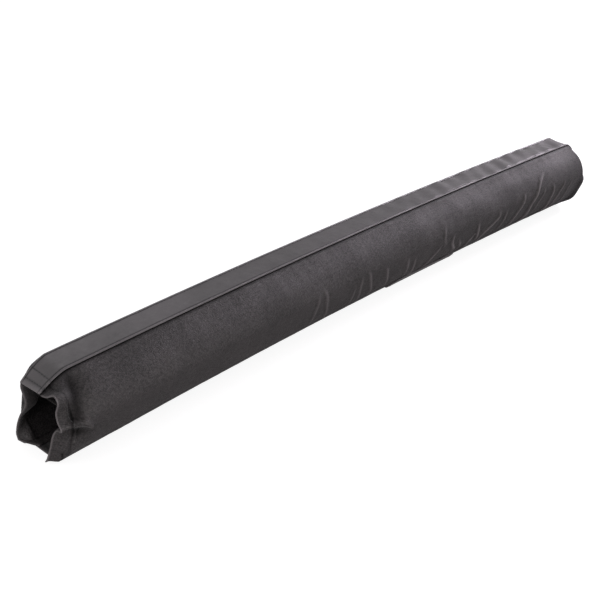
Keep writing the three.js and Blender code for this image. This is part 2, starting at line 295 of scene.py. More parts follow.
def crest(x, y, path, reach):
    """1 along a line whose x is a cubic of y through the path's points, falling off as a bell to its sides.

    It rises from a little before the first point and fades to a little past the last one.
    """
    before, rise, after, fade = 3, 10, 6, 9
    px, py = np.array(path).T
    line = np.polyfit(py, px, min(3, len(px) - 1))
    inside = np.clip(y, py.min(), py.max())
    slope = np.polyval(np.polyder(line), inside)
    ends = ease((y - py.min() + before) / rise) * ease((py.max() + after - y) / fade)
    return bell((x - np.polyval(line, inside)) / np.hypot(1, slope), reach) * ends


# Meshes

def add_object(name, points, faces, cloth, material):
    """A mesh object from points in millimetres, with faces turned so that the volume is positive.

    cloth holds, for each point, its two places along the cloth in millimetres and its tone from -1 to 1.
    """
    points = np.asarray(points, float) * METRES
    faces = np.asarray(faces)
    a, b, c, d = (points[faces[:, k]] for k in range(4))
    volume = np.einsum("ij,ij->", a, np.cross(b, c)) + np.einsum("ij,ij->", a, np.cross(c, d))
    if volume < 0:
        faces = faces[:, ::-1]
    mesh = bpy.data.meshes.new(name)
    mesh.from_pydata(points, [], faces.tolist())
    mesh.polygons.foreach_set("use_smooth", np.ones(len(mesh.polygons), bool))
    layer = mesh.uv_layers.new(name="cloth")
    corner = np.empty(len(mesh.loops), int)
    mesh.loops.foreach_get("vertex_index", corner)
    layer.data.foreach_set("uv", (cloth[:, :2] * METRES)[corner].ravel())
    tone = mesh.attributes.new("tone", "FLOAT", "POINT")
    tone.data.foreach_set("value", np.ascontiguousarray(cloth[:, 2], np.float32))
    mesh.materials.append(material)
    mesh.validate()
    obj = bpy.data.objects.new(name, mesh)
    bpy.context.scene.collection.objects.link(obj)
    return obj


def grid_faces(columns, rows, first=0):
    """Four-sided faces between the points of a grid, whose first point has the given number."""
    i, j = np.meshgrid(np.arange(columns - 1), np.arange(rows - 1), indexing="ij")
    a = (first + i * rows + j).ravel()
    return np.stack([a, a + rows, a + rows + 1, a + 1], 1)


def closed_cloth(outer, inner, cloth, back=None):
    """Cloth between two equal grids: both faces, and a rim round them whose profile is a half circle.

    A rim point is the middle of the cloth, plus the cosine of an angle times the half thickness,
    plus the sine times as much outwards in the plane of the cloth. Where back is given, it holds for the
    inner face what cloth holds for the outer one.
    """
    columns, rows = outer.shape[:2]
    i = np.concatenate([np.arange(columns - 1), np.full(rows - 1, columns - 1), np.arange(columns - 1, 0, -1),
                        np.zeros(rows - 1, int)])
    j = np.concatenate([np.zeros(columns - 1, int), np.arange(rows - 1), np.full(columns - 1, rows - 1),
                        np.arange(rows - 1, 0, -1)])
    inside_i, inside_j = np.clip(i, 1, columns - 2), np.clip(j, 1, rows - 2)
    middle = (outer[i, j] + inner[i, j]) / 2
    half = (outer[i, j] - inner[i, j]) / 2
    away = middle - (outer[inside_i, inside_j] + inner[inside_i, inside_j]) / 2
    away -= half * ((away * half).sum(1) / np.maximum((half * half).sum(1), 1e-9))[:, None]
    away *= (np.linalg.norm(half, axis=1) / np.maximum(np.linalg.norm(away, axis=1), 1e-9))[:, None]
    angles = np.pi * np.arange(1, RIM_STEPS) / RIM_STEPS
    rings = [middle + np.cos(a) * half + np.sin(a) * away for a in angles]
    points = np.vstack([outer.reshape(-1, 3), inner.reshape(-1, 3), *rings])
    size, around = columns * rows, len(i)
    edge = i * rows + j
    loops = [edge, *(2 * size + k * around + np.arange(around) for k in range(RIM_STEPS - 1)), size + edge]
    rim = [np.stack([a, b, np.roll(b, -1), np.roll(a, -1)], 1) for a, b in zip(loops, loops[1:])]
    faces = np.vstack([grid_faces(columns, rows), grid_faces(columns, rows, size)[:, ::-1], *rim])
    flat = cloth.reshape(-1, 3)
    behind = flat if back is None else back.reshape(-1, 3)
    return points, faces, np.vstack([flat, behind, *[flat[edge]] * (RIM_STEPS - 1)])


def on_grid(grid, i, j):
    """Points of a grid at positions between its columns and rows, by straight lines between neighbours."""
    i, j = np.clip(i, 0, grid.shape[0] - 1.001), np.clip(j, 0, grid.shape[1] - 1.001)
    i, j = np.broadcast_arrays(i, j)
    a, b = i.astype(int), j.astype(int)
    u, v = (i - a)[:, None], (j - b)[:, None]
    return mix(mix(grid[a, b], grid[a + 1, b], u), mix(grid[a, b + 1], grid[a + 1, b + 1], u), v)


def stitches_along(points, up, sizes=SEAM_STITCHES):
    """One row of stitches along a path: each is a short rounded thread, half sunk into the cloth.

    A stitch is a ring of six points carried along its length, whose radius is the root of 1 less the share
    of the half length to the fourth power.
    """
    pitch, length = sizes
    lengths = travelled(points)
    middles = np.arange(pitch / 2, lengths[-1], pitch)

    def at(values, s):
        return np.stack([np.interp(s, lengths, values[:, k]) for k in range(3)], -1)

    centre = at(points, middles)
    along = at(points, middles + 0.5) - at(points, middles - 0.5)
    along /= np.maximum(np.linalg.norm(along, axis=1, keepdims=True), 1e-9)
    high = at(up, middles)
    high -= along * (high * along).sum(1)[:, None]
    high /= np.maximum(np.linalg.norm(high, axis=1, keepdims=True), 1e-9)
    wide = np.cross(along, high)
    share = np.array([-1, -0.86, -0.4, 0.4, 0.86, 1.0])
    thick = np.sqrt(np.maximum(1 - share**4, 0.02)) * THREAD_RADIUS
    turn = 2 * np.pi * np.arange(6) / 6
    ring = (
        centre[:, None, None] + high[:, None, None] * (THREAD_RADIUS * 0.5 - THREAD_SINK)
        + along[:, None, None] * (share * length / 2)[None, :, None, None]
        + high[:, None, None] * (thick[:, None] * np.sin(turn))[None, :, :, None]
        + wide[:, None, None] * (thick[:, None] * np.cos(turn))[None, :, :, None]
    )
    count, rings, sides = ring.shape[:3]
    k, s = np.meshgrid(np.arange(rings - 1), np.arange(sides), indexing="ij")
    a = (k * sides + s).ravel()
    b = (k * sides + (s + 1) % sides).ravel()
    tube = np.stack([a, b, b + sides, a + sides], 1)
    cap = np.array([[0, 5, 4, 3], [0, 3, 2, 1]])
    one = np.vstack([tube, cap, cap[:, ::-1] + (rings - 1) * sides])
    faces = (one[None] + (np.arange(count) * rings * sides)[:, None, None]).reshape(-1, 4)
    cloth = np.tile(np.repeat(share * length / 2, sides)[:, None], (count, 3)) * [1, 1, 0]
    return ring.reshape(-1, 3), faces, cloth


def joined(parts):
    """Several sets of points, faces and places on the cloth as one."""
    starts = np.cumsum([0] + [len(p) for p, _, _ in parts[:-1]])
    return (
        np.vstack([p for p, _, _ in parts]),
        np.vstack([f + start for start, (_, f, _) in zip(starts, parts)]),
        np.vstack([u for _, _, u in parts]),
    )


# Materials. Scales of noise are per metre, and the distances of a relief are in metres

# Colours the tone goes over to: the pale ones are painted highlights on the panels and the strip, and also
# lighten the straps' and tapes' edges; SHADE is painted shade
HIGHLIGHT_BLACK = (0.15, 0.135, 0.140, 1)
HIGHLIGHT_GREY = (0.12, 0.11, 0.115, 1)
SHADE = (0.004, 0.004, 0.004, 1)


def new_tree(name):
    """A new material, its node tree and its shader."""
    material = bpy.data.materials.new(name)
    material.use_nodes = True
    tree = material.node_tree
    return material, tree, tree.nodes["Principled BSDF"]


def feed(tree, node, inputs):
    """Sets each of a node's inputs to a plain value, or links it to another node's output."""
    for key, value in inputs.items():
        if isinstance(value, bpy.types.NodeSocket):
            tree.links.new(value, node.inputs[key])
        else:
            node.inputs[key].default_value = value


def add_node(tree, kind, inputs, **settings):
    """A new node with its settings and inputs."""
    node = tree.nodes.new(kind)
    for key, value in settings.items():
        setattr(node, key, value)
    feed(tree, node, inputs)
    return node


def maths(tree, operation, a, b, clamp=False):
    """One sum or product of two values."""
    return add_node(tree, "ShaderNodeMath", {0: a, 1: b}, operation=operation, use_clamp=clamp).outputs[0]


def noise(tree, coordinates, scale, detail, roughness=0.55):
    """Soft noise around a half."""
    values = {"Vector": coordinates, "Scale": scale, "Detail": detail, "Roughness": roughness}
    return add_node(tree, "ShaderNodeTexNoise", values).outputs["Fac"]


def spread(tree, value, low, high, to_low, to_high):
    """A value between low and high, spread over to_low to to_high."""
    values = {"Value": value, "From Min": low, "From Max": high, "To Min": to_low, "To Max": to_high}
    return add_node(tree, "ShaderNodeMapRange", values, clamp=True).outputs["Result"]


def threads(tree, coordinates, pitch, direction):
    """Parallel threads a pitch apart, as a wave from 0 to 1 in one direction of the cloth."""
    values = {"Vector": coordinates, "Scale": np.pi / (10 * pitch), "Distortion": 0.0}
    return add_node(
        tree, "ShaderNodeTexWave", values, wave_type="BANDS", bands_direction=direction, wave_profile="SIN"
    ).outputs["Fac"]


def colour_mix(tree, share, a, b):
    """Colour a, going over to colour b as the share goes from 0 to 1."""
    return add_node(tree, "ShaderNodeMix", {0: share, 6: a, 7: b}, data_type="RGBA").outputs[2]


def tone_of(tree):
    """The cloth's tone at a point, from -1 to 1."""
    return add_node(tree, "ShaderNodeAttribute", {}, attribute_name="tone").outputs["Fac"]


def along_cloth(tree):
    """Places along the cloth, from the piece's own map."""
    return add_node(tree, "ShaderNodeUVMap", {}, uv_map="cloth").outputs["UV"]


def in_object(tree):
    """Places in the piece's own space."""
    return add_node(tree, "ShaderNodeTexCoord", {}).outputs["Object"]


def toned(tree, colour, highlight_colour):
    """The colour, going over to a paler one, the painted highlight, where the tone is above 0, and to painted
    shade where it is below.
    """
    tone = tone_of(tree)
    colour = colour_mix(tree, maths(tree, "MULTIPLY", tone, 1.0, clamp=True), colour, highlight_colour)
    return colour_mix(tree, maths(tree, "MULTIPLY", tone, -1.0, clamp=True), colour, SHADE)


def bump(tree, height, strength, distance, normal=None):
    """A small relief, on top of another one where its normal is given."""
    values = {"Height": height, "Strength": strength, "Distance": distance}
    if normal is not None:
        values["Normal"] = normal
    return add_node(tree, "ShaderNodeBump", values).outputs["Normal"]


def woven(name, dark, pale, pitch, roughness, sheen, relief=0.5, gloss=0.35):
    """Woven cloth: warp and weft as crossing waves, darker between the threads, with uneven dye, and the
    tone's painted highlights and painted shade.
    """
    material, tree, shader = new_tree(name)
    uv = along_cloth(tree)
    warp, weft = threads(tree, uv, pitch, "X"), threads(tree, uv, pitch, "Y")
    over = maths(tree, "MULTIPLY", warp, weft)
    place = in_object(tree)
    patches = noise(tree, place, 26.0, 4.0, 0.6)
    fibre = noise(tree, uv, 1400.0, 2.0)
    slub = spread(tree, noise(tree, uv, 850.0, 1.0), 0.40, 0.60, 0.0, 1.0)
    heather = spread(tree, noise(tree, uv, 340.0, 1.0), 0.38, 0.62, -0.1, 0.25)
    share = maths(tree, "ADD", maths(tree, "MULTIPLY", over, 0.2), maths(tree, "MULTIPLY", slub, 0.65))
    share = maths(tree, "ADD", share, heather)
    share = maths(tree, "ADD", share, spread(tree, patches, 0.35, 0.65, -0.12, 0.22), clamp=True)
    shine = spread(tree, noise(tree, uv, 420.0, 1.0), 0.36, 0.64, 0.8, 1.2)
    # Less gloss where painted shade is
    shine = maths(tree, "MULTIPLY", shine, spread(tree, tone_of(tree), -0.8, 0.0, 0.0, gloss))
    fine = bump(tree, over, relief, 0.00035)
    fine = bump(tree, fibre, 0.25, 0.0002, fine)
    fine = bump(tree, slub, 0.5, 0.00025, fine)
    feed(tree, shader, {
        "Base Color": toned(tree, colour_mix(tree, share, (*dark, 1), (*pale, 1)), HIGHLIGHT_BLACK),
        "Specular IOR Level": shine,
        "Roughness": spread(tree, patches, 0.3, 0.7, roughness + 0.06, roughness - 0.06),
        "Normal": bump(tree, noise(tree, place, 90.0, 3.0), 0.25, 0.0012, fine),
        "Sheen Weight": sheen,
        "Sheen Roughness": 0.45,
    })
    return material


def coated(name, dark, pale):
    """Smooth coated cloth: a fine weave under the coating, mottled where it has been pressed and scuffed."""
    material, tree, shader = new_tree(name)
    uv = along_cloth(tree)
    place = in_object(tree)
    weave = maths(tree, "MULTIPLY", threads(tree, uv, 0.0008, "X"), threads(tree, uv, 0.0008, "Y"))
    wide, close = noise(tree, place, 22.0, 5.0, 0.6), noise(tree, place, 120.0, 4.0, 0.6)
    share = maths(tree, "ADD", spread(tree, wide, 0.35, 0.65, 0.1, 0.75), maths(tree, "MULTIPLY", close, 0.3))
    share = maths(tree, "ADD", share, maths(tree, "MULTIPLY", weave, 0.12), clamp=True)
    fine = bump(tree, close, 0.35, 0.0006, bump(tree, weave, 0.2, 0.0002))
    feed(tree, shader, {
        "Base Color": toned(tree, colour_mix(tree, share, (*dark, 1), (*pale, 1)), HIGHLIGHT_GREY),
        "Roughness": spread(tree, close, 0.3, 0.7, 0.50, 0.34),
        "Normal": bump(tree, wide, 0.35, 0.002, fine),
        "Specular IOR Level": 0.5,
        "Sheen Weight": 0.1,
    })
    return material


def foamed(name, dark, pale):
    """Foam: small pits from a cell pattern, darker inside."""
    material, tree, shader = new_tree(name)
    place = in_object(tree)
    cells = add_node(tree, "ShaderNodeTexVoronoi", {"Vector": place, "Scale": 700.0}).outputs["Distance"]
    share = spread(tree, cells, 0.1, 0.6, 0.0, 1.0)
    colour = colour_mix(tree, share, (*pale, 1), (*dark, 1))
    feed(tree, shader, {"Base Color": colour, "Normal": bump(tree, cells, 0.6, 0.001), "Roughness": 0.95})
    return material


def thread_finish(name, dark, pale):
    """Sewing thread: twisted plies, seen as bands across it."""
    material, tree, shader = new_tree(name)
    uv = along_cloth(tree)
    ply = threads(tree, uv, 0.0006, "X")
    colour = colour_mix(tree, ply, (*dark, 1), (*pale, 1))
    feed(tree, shader, {"Base Color": colour, "Normal": bump(tree, ply, 0.4, 0.0001), "Roughness": 0.6})
    return material


# Each finish has its darkest and its palest colour; a weave's pitch is in metres
PANEL_CLOTH = woven(
    "black_woven_cloth", (0.0064, 0.0054, 0.0056), (0.033, 0.028, 0.029),
    pitch=0.0011, roughness=0.6, sheen=0.06, gloss=0.42,
)
STRAP_FINISH = woven(
    "strap_woven_cloth", (0.0080, 0.0072, 0.0075), (0.030, 0.027, 0.028),
    pitch=0.0009, roughness=0.7, sheen=0.2,
)
LINER_FINISH = woven(
    "liner_woven_cloth", (0.016, 0.014, 0.014), (0.05, 0.045, 0.046),
    pitch=0.0007, roughness=0.75, sheen=0.1,
)
TAPE_LOOPS = woven(
    "loop_tape_pile", (0.008, 0.008, 0.009), (0.030, 0.029, 0.031),
    pitch=0.0013, roughness=0.9, sheen=0.3, relief=0.9,
)
TAPE_HOOKS = woven(
    "hook_tape_nylon", (0.007, 0.007, 0.008), (0.022, 0.022, 0.024),
    pitch=0.0016, roughness=0.55, sheen=0.0, relief=1.0,
)
STRIP_CLOTH = coated("coated_strip_cloth", (0.047, 0.043, 0.045), (0.088, 0.080, 0.085))
FOAM_FINISH = foamed("dark_grey_foam", (0.08, 0.074, 0.074), (0.22, 0.205, 0.205))
THREAD = thread_finish("black_sewing_thread", (0.010, 0.010, 0.011), (0.035, 0.034, 0.036))


# The side panels

# Folds of the cloth: height, then the line they follow as lengths and shares of the section
FRONT_FOLDS = (
    (0.45, (-102, 0.33), (-99, 0.55), (-97, 0.80)),
    (0.45, (-95, 0.28), (-85, 0.50), (-74, 0.78)),
    (0.5, (-45, 0.46), (-44, 0.62), (-42, 0.80)),
    (0.6, (-40, 0.38), (-34, 0.58), (-27, 0.82)),
    (0.6, (-31, 0.34), (-20, 0.52), (-7, 0.80)),
    (0.7, (-3, 0.39), (7, 0.56), (15, 0.78)),
    (0.7, (33.6, 0.43), (38.8, 0.57), (41, 0.70)),
    (0.9, (47.8, 0.47), (50.5, 0.58), (54.5, 0.70), (57, 0.80)),
    (0.9, (91.8, 0.47), (86.7, 0.57), (82.9, 0.64), (80, 0.76)),
    (0.5, (95.4, 0.25), (91.7, 0.37), (99.6, 0.48)),
    (1.1, (108.5, 0.40), (116.5, 0.57), (123.1, 0.64)),
    (0.8, (126.8, 0.53), (133.4, 0.64)),
    (1.0, (159.2, 0.55), (151.5, 0.60), (147.8, 0.68), (145, 0.80)),
    (1.2, (153.8, 0.40), (160.5, 0.55), (163.2, 0.64)),
    (1.1, (191, 0.37), (194, 0.45), (190, 0.51), (182.5, 0.55), (176, 0.64), (172, 0.76)),
    (0.8, (207, 0.40), (210, 0.52), (207, 0.66)),
    (1.1, (240, 0.30), (237.8, 0.42), (235.5, 0.52), (233, 0.60), (231, 0.76)),
    (1.3, (286, 0.17), (272, 0.24), (267, 0.33), (262.5, 0.42), (261.5, 0.53), (260.5, 0.64), (259, 0.80)),
    (0.8, (281, 0.34), (279, 0.48), (277, 0.62)),
    (1.2, (298, 0.33), (303.8, 0.47), (304.3, 0.58), (304.6, 0.69), (304, 0.82)),
    (1.0, (324, 0.35), (323, 0.45), (322, 0.55), (320, 0.65), (318, 0.80)),
    (0.7, (341, 0.38), (340, 0.55), (338, 0.72)),
)
REAR_FOLDS = (
    (0.8, (-322, 0.30), (-330, 0.62)),
    (0.7, (-240, 0.36), (-246, 0.60)),
    (0.8, (-206, 0.40), (-198, 0.74)),
    (0.7, (-147, 0.34), (-154, 0.62)),
    (0.6, (-49, 0.42), (-40, 0.60)),
    (0.8, (12, 0.38), (6, 0.76)),
    (0.6, (52, 0.44), (44, 0.62)),
    (0.8, (151, 0.40), (160, 0.62)),
    (0.8, (211, 0.35), (205, 0.76)),
    (0.9, (244, 0.42), (250, 0.60)),
    (0.9, (329, 0.32), (336, 0.60)),
)

# A fold's height and reach, for a height of 1 above, and the hollows along its sides
FOLD_HEIGHT, FOLD_REACH = 1.6, 1.7
HOLLOW_DEPTH, HOLLOW_REACH, HOLLOW_BESIDE = 0.35, 2.6, 3.6

# The slack cloth of the near mouth: lines along the cloth as lengths and shares of the section
CREASE = ((-360.5, 0.0), (-359.5, 0.06), (-361.1, 0.1), (-363.6, 0.15), (-364.9, 0.2), (-365.6, 0.283),
          (-366.9, 0.333), (-368.6, 0.39))
RIDGE = ((-375.4, 0.45), (-372.5, 0.433), (-369.4, 0.415), (-366.7, 0.395), (-363.9, 0.375), (-361.2, 0.375),
         (-358.5, 0.40), (-355.5, 0.44))
POCKET = (-362.5, 0.53)
HEM_SLIT = ((-366.6, 0.83), (-364.2, 0.98))

# The crease is a narrow hollow in a wide one: how far past its line each lies, its depth and its reach
CREASE_HOLLOWS = ((1.5, 1.0, 4.5), (3.0, 2.8, 8.5))
RIDGE_HEIGHT, RIDGE_REACH = 3.4, 2.4
POCKET_DEPTH, POCKET_LENGTH, POCKET_HEIGHT = 6.0, 9.5, 8

# Tones: 1 is a full painted highlight, 0 is plain cloth and -1 is full painted shade
HEM_HIGHLIGHT, CREST_HIGHLIGHT, RIDGE_HIGHLIGHT = 0.5, 0.85, 0.2
STITCH_SHADE, SEAM_SHADE, SLIT_SHADE, CREASE_SHADE, POCKET_SHADE = 0.5, 1.0, 0.9, 0.65, 0.85
FAR_SHADE, FAR_SHADE_START = 0.55, 350
# Painted shade on the panels' inner faces
BACK_SHADE = -0.1


def on_cloth(side, path):
    """A path of lengths and shares of the section, as lengths and distances from the seam."""
    return [(x, girth(side, t)) for x, t in path]


def near_mouth_relief(x, s):
    """An upright crease below the front seam, an arched fold across its foot, a pocket under the fold."""
    crease_line, ridge_line = on_cloth(FRONT, CREASE), on_cloth(FRONT, RIDGE)
    crease = sum(depth * crest(x - past, s, crease_line, reach) for past, depth, reach in CREASE_HOLLOWS)
    ridge = RIDGE_HEIGHT * fold(x, s, ridge_line, RIDGE_REACH)
    along, across = (x - POCKET[0]) / POCKET_LENGTH, (s - girth(FRONT, POCKET[1])) / POCKET_HEIGHT
    pocket = POCKET_DEPTH * bell(np.hypot(along, across), 1.0)
    below = ease((s - np.interp(x, *np.array(ridge_line).T)) / 3)
    return ridge - crease * (1 - below) - pocket * below


def fold_height(x, s, path):
    """A raised line over the cloth, with a shallow hollow along either side of it."""
    beside = crest(x - HOLLOW_BESIDE, s, path, HOLLOW_REACH) + crest(x + HOLLOW_BESIDE, s, path, HOLLOW_REACH)
    return FOLD_HEIGHT * crest(x, s, path, FOLD_REACH) - HOLLOW_DEPTH * beside


def panel_relief(side, x, t, distance):
    """Height and crests of the slack cloth over its even form: seam, puckers, folds, unevenness.

    All of it grows calm towards the mouths' edges and the lower edge. Heights and lengths are in millimetres.
    """
    s = girth(side, t)
    uneven = 0.35 * waves(3 + side, x, s, count=9, shortest=30, longest=90)
    uneven = uneven + 0.10 * waves(7 + side, x, s, count=9, shortest=8, longest=20)
    drawn = 0.4 * waves(27 + side, x, 0.3 * s, count=8, shortest=14, longest=34)
    drawn = drawn * ease((x + 60) / 240) * ease((t - 0.15) / 0.35)
    pucker = 0.16 * waves(11 + side, x, 0 * s, count=7, shortest=5, longest=14) * np.exp(-s / 9)
    seam = 0.7 * bell(s - 3.2, 1.9) - 0.45 * bell(s - 0.6, 0.7)
    total = uneven + drawn + pucker + seam
    crests = 0 * total
    for height, *line in FRONT_FOLDS if side == FRONT else REAR_FOLDS:
        path = on_cloth(side, line)
        # crests marks the painted highlight along each fold, set 0.4 mm towards +X, the side the light comes
        # from
        crests = crests + height * crest(x - 0.4, s, path, 1.1)
        total = total + height * fold_height(x, s, path)
    calm = ease((HALF_LENGTH - distance) / 18) * ease((1 - t) * 12)
    total = total * mix(0.35, 1, calm)
    if side == FRONT:
        total = total + near_mouth_relief(x, s)
    return total, crests


def panel_tone(side, x, s, to_hem, crests, sewn):
    """Painted highlights on the hem's edge, the folds' crests and the near fold's ridge; painted shade in
    stitches and hollows, by the seam and at the far end.
    """
    tone = HEM_HIGHLIGHT * bell(to_hem, 0.6) + CREST_HIGHLIGHT * crests - STITCH_SHADE * sewn
    tone = tone - SEAM_SHADE * bell(s, 1.0) - FAR_SHADE * ease((x - FAR_SHADE_START) / 22)
    if side == FRONT:
        tone = tone - SLIT_SHADE * fold(x, s, on_cloth(side, HEM_SLIT), 0.7)
        tone = tone - CREASE_SHADE * crest(x - 1.5, s, on_cloth(side, CREASE), 5.0)
        tone = tone + RIDGE_HIGHLIGHT * fold(x, s, on_cloth(side, RIDGE), 1.2)
        pocket = bell(np.hypot((x - POCKET[0] - 1) / 8, (s - girth(side, POCKET[1])) / 6), 1)
        tone = tone - POCKET_SHADE * pocket
    return np.clip(tone, -1, 1)


ALLOWANCE_ROWS = np.array([-1, -0.7, -0.35])
LIP_ROWS = np.array([1.25, 1.5, 1.75, 2.0])
LIP_WIDTH = 7
STITCH_DEPTH, HEM_RISE, HEM_STEP = 0.25, 0.12, 1.2


def panel_surface(side):
    """Both faces of a side panel, as functions of the station along the length and the row round the section.

    A row goes straight along the body. Past the foam an S-shaped step blends it into the mouth's outline.
    """
    station = stations(BODY_STEPS, MOUTH_STEPS)[:, None]
    row = np.concatenate([ALLOWANCE_ROWS, np.linspace(0, 1, SECTION_STEPS + 1), LIP_ROWS])[None, :]
    t = np.clip(row, 0, 1)
    lip_share, edge_share = np.clip(row - 1, 0, 1), np.clip(-row, 0, 1)
    body = section_point(side, t)
    body = mix(body, np.array(LIP), lip_share[..., None])
    hem = {}
    for end in (LEFT, RIGHT):
        points, lip = MOUTH[side, end]
        hem[end] = mix(mouth_point(points, side, t), np.array(lip), lip_share[..., None])
    hem = np.where((station < 0)[..., None], hem[LEFT], hem[RIGHT])
    mouth_length = np.where(station < 0, MOUTH_LENGTH[LEFT], MOUTH_LENGTH[RIGHT])
    upper = mouth_length
    if side == REAR:
        upper = mix(mouth_length, REAR_SLACK, ease(t * 30))
    across = side * (1 - edge_share * ALLOWANCE / SEAM_WIDTH)
    start = HALF_LENGTH - mix(upper, HEEL_MOUTH, ease(t) if side == REAR else t)
    near_seam = 1 - ease(t * 20)
    set_back = mix(hem[..., 2], strip_set_back(across), near_seam)
    distance = station_distance(station, start, set_back)
    past = np.abs(station) - 1
    slack = ease(mix(REAR_LEAD, 1, ease(2 * t)) * past) if side == REAR else ease(past)
    half_width = mix(body[..., 0], hem[..., 0], slack)
    height = mix(body[..., 1], hem[..., 1], slack)
    seam_line = SEAM_HEIGHT - droop(station, across)
    height = np.where(row <= 0, seam_line, height)
    half_width = half_width - ALLOWANCE * edge_share
    x = np.sign(station) * distance
    base = np.stack([x, side * half_width + bow(x), height + 0 * x], -1)
    out = normals(base, (0, side, 0.2))
    to_hem = HALF_LENGTH - set_back - distance
    hemmed = 1 - ease((to_hem - HEM_LENGTH) / HEM_STEP + 0.5)
    relief, crests = panel_relief(side, x, t, distance)
    on_panel = (row > 0) & (row <= 1)
    s = girth(side, t)
    sewn = bell(to_hem - STITCH_TO_HEM, 0.6) + bell(s - girth(side, LOWER_STITCH), 0.6)
    raised = np.where(on_panel, relief - STITCH_DEPTH * sewn, 0) + HEM_RISE * hemmed
    outer = base + out * raised[..., None]
    inner = outer - out * (mix(CLOTH, HEM_CLOTH, hemmed) * (1 - 0.5 * bell(to_hem, 1.4)))[..., None]
    tone = panel_tone(side, x, s, to_hem, crests * on_panel, sewn)
    down = s + LIP_WIDTH * lip_share - ALLOWANCE * edge_share
    cloth = np.stack([x, down + 0 * x, tone + 0 * x], -1)
    back = cloth.copy()
    # The inner face takes painted shade, except right at the hem's edge
    back[..., 2] = np.where(to_hem < 1, cloth[..., 2], BACK_SHADE)
    return outer, inner, cloth, back, out, row[0]


def column_at(grid, row, x):
    """Column position, between whole columns, at which a row of the grid reaches a length."""
    j = int(round(row))
    return np.interp(x, grid[:, j, 0], np.arange(grid.shape[0]))


def row_at(rows, value):
    """Row position, between whole rows, at which the rows' own values reach a value."""
    return np.interp(value, rows, np.arange(len(rows)))


def path_on(grid, out, rows, xs, ts):
    """Points and normals on a panel along a path of lengths and shares of the section."""
    j, xs = np.broadcast_arrays(row_at(rows, ts), xs)
    i = np.array([column_at(grid, k, x) for k, x in zip(j, xs)])
    return on_grid(grid, i, j), on_grid(out, i, j)


PANEL_NAMES = {
    FRONT: ("front_panel_cloth", "front_side_panel"),
    REAR: ("rear_panel_cloth", "rear_side_panel"),
}
panels = {}
for side, (name, node) in PANEL_NAMES.items():
    outer, inner, cloth, back, out, rows = panel_surface(side)
    piece = add_object(name, *closed_cloth(outer, inner, cloth, back), PANEL_CLOTH)
    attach(piece, "root")
    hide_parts(node)
    panels[side] = {"piece": piece, "outer": outer, "out": out, "rows": rows}


# The top strip

STRIP_ACROSS = 44
STRIP_EDGE_INSET = 0.55
STRIP_HALF = SEAM_WIDTH - STRIP_EDGE_INSET
STRIP_RIDGE_ACROSS = 11.2
STRIP_HEM_LENGTH, STRIP_HEM_RISE = 9.8, 0.4
STRIP_SUNK = 0.2

# The strip's rows lie closer together towards its edges
strip_rows = np.linspace(-1, 1, STRIP_ACROSS + 1)
strip_rows = 0.6 * strip_rows + 0.4 * np.sin(np.pi / 2 * strip_rows)


def strip_relief(x, y, to_hem):
    """Height over the flat strip: a seam ridge at both edges, a stitched groove beside it, a folded hem.

    The cloth ripples towards the far end, where the ridge is lower.
    """
    side = np.abs(y)
    far = ease((x + 40) / 260)
    ridge = mix(0.5, 0.15, far) * bell(side - STRIP_RIDGE_ACROSS, 0.5)
    ridge = ridge - 0.4 * bell(side - STRIP_STITCH_ACROSS, 0.45)
    uneven = 0.22 * waves(21, x, y, count=9, shortest=18, longest=60)
    uneven = uneven + 0.06 * waves(22, x, y, count=9, shortest=6, longest=14)
    ripple = 1.2 * far * waves(23, x, 0.35 * y, count=6, shortest=12, longest=26)
    rows = -0.3 * sum(bell(to_hem - inset, 0.6) for inset in STRIP_HEM_ROWS)
    folded = STRIP_HEM_RISE * (1 - ease(to_hem - STRIP_HEM_LENGTH + 0.5))
    calm = ease((SEAM_WIDTH - side) / 2.5)
    return ridge + (uneven + ripple) * calm + rows + folded - STRIP_SUNK


def strip_surface():
    """Upper and lower face of the strip: flat across, straight along the body, drooping at the mouths."""
    station = stations(BODY_STEPS, MOUTH_STEPS)[:, None]
    across = strip_rows[None, :]
    mouth_length = np.where(station < 0, MOUTH_LENGTH[LEFT], MOUTH_LENGTH[RIGHT])
    distance = station_distance(station, HALF_LENGTH - mouth_length, strip_set_back(across))
    x = np.sign(station) * distance
    y = across * STRIP_HALF
    z = STRIP_TOP - droop(station, across)
    to_hem = HALF_LENGTH - strip_set_back(across) - distance
    lower = np.stack([x, y + bow(x), z - STRIP_THICKNESS], -1)
    upper = np.stack([x, y + bow(x), z + strip_relief(x, y, to_hem)], -1)
    side = np.abs(y)
    # Tone: a painted highlight on the seam ridges, fading out from the near end, and on the hem's folded edge;
    # painted shade in the stitched grooves along the edges and across the hems
    ridge_highlight = mix(0.35, 0.0, ease((x + HALF_LENGTH) / 400))
    tone = ridge_highlight * bell(side - STRIP_RIDGE_ACROSS, 0.4) - bell(side - STRIP_STITCH_ACROSS, 0.55)
    tone = tone + 0.9 * bell(to_hem, 1.3) - 0.7 * sum(bell(to_hem - inset, 0.5) for inset in STRIP_HEM_ROWS)
    return upper, lower, np.stack([x, y + 0 * x, np.clip(tone, -1, 1)], -1)


strip_upper, strip_lower, strip_places = strip_surface()
strip = add_object("strip_cloth", *closed_cloth(strip_upper, strip_lower, strip_places), STRIP_CLOTH)
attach(strip, "root")
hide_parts("top_strip")


# The foam and the liner

def foam_outline():
    """Section of the foam: the body section moved inwards, cut off level at the top and above the liner."""
    halves = {}
    for side in (FRONT, REAR):
        points = offset_section(side, np.linspace(0, 1, 121), -FOAM_GAP)
        points = points[points[:, 1] > FOAM_BOTTOM]
        points[:, 1] = np.minimum(points[:, 1], FOAM_TOP)
        halves[side] = points
    front, rear = halves[FRONT], halves[REAR]
    top = np.vstack([front[::-1] * [-1, 1], rear])
    bottom = np.stack([np.linspace(rear[-1, 0], -front[-1, 0], 30), np.full(30, FOAM_BOTTOM)], 1)[1:-1]
    return np.vstack([top, bottom])


